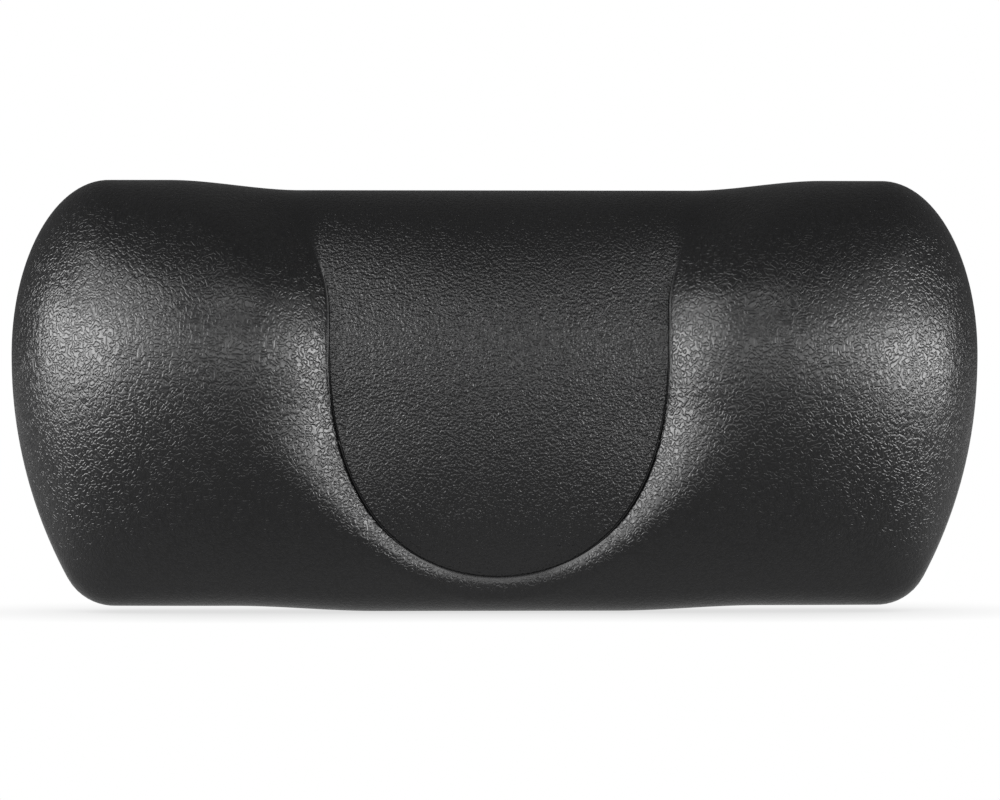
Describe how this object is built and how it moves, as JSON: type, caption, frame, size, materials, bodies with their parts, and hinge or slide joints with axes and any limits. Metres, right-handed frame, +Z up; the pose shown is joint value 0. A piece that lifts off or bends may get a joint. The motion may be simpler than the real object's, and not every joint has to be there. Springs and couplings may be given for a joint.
{
  "type": "bath pillow",
  "caption": "Wide two-lobed bath pillow of self-skinned foam with a U-shaped neck scoop and screwed-in suction cups on its back.",
  "frame": {"origin": "midway between the two suction cups' axes, in the plane of their sealing lips, which is the face of the bath's wall that the relaxed cups touch", "axes": "+X along the pillow, to the right for someone who looks at its front, +Y away from the head and into the bath's wall, +Z up"},
  "size_m": [0.31, 0.078, 0.1377],
  "materials": {
    "skin": "satin",
    "foam": "matte",
    "disc_plastic": "satin",
    "steel": "satin",
    "clear_vinyl": "gloss"
  },
  "bodies": {
    "pillow": {"outer_skin": "skin", "foam_core": "foam", "anchor_disc_left": "disc_plastic", "anchor_disc_right": "disc_plastic", "tee_nut_left": "steel", "tee_nut_right": "steel"},
    "left_washer": {"washer_left": "steel"},
    "left_cup": {"suction_cup_left": "clear_vinyl", "stud_left": "steel"},
    "right_washer": {"washer_right": "steel"},
    "right_cup": {"suction_cup_right": "clear_vinyl", "stud_right": "steel"}
  },
  "joints": [
    {"name": "left_cup_travel", "type": "slide", "parent": "pillow", "child": "left_washer", "axis": [0, 1, 0], "range_m": [0, 0.006]},
    {"name": "left_cup_turn", "type": "hinge", "parent": "left_washer", "child": "left_cup", "pos_m": [-0.072, 0, 0], "axis": [0, 1, 0], "range_deg": [0, 2160]},
    {"name": "right_cup_travel", "type": "slide", "parent": "pillow", "child": "right_washer", "axis": [0, 1, 0], "range_m": [0, 0.006]},
    {"name": "right_cup_turn", "type": "hinge", "parent": "right_washer", "child": "right_cup", "pos_m": [0.072, 0, 0], "axis": [0, 1, 0], "range_deg": [0, 2160]}
  ],
  "couplings": [
    {"joint": "left_cup_travel", "follows": "left_cup_turn", "m_per_rad": 0.00015915},
    {"joint": "right_cup_travel", "follows": "right_cup_turn", "m_per_rad": 0.00015915}
  ]
}
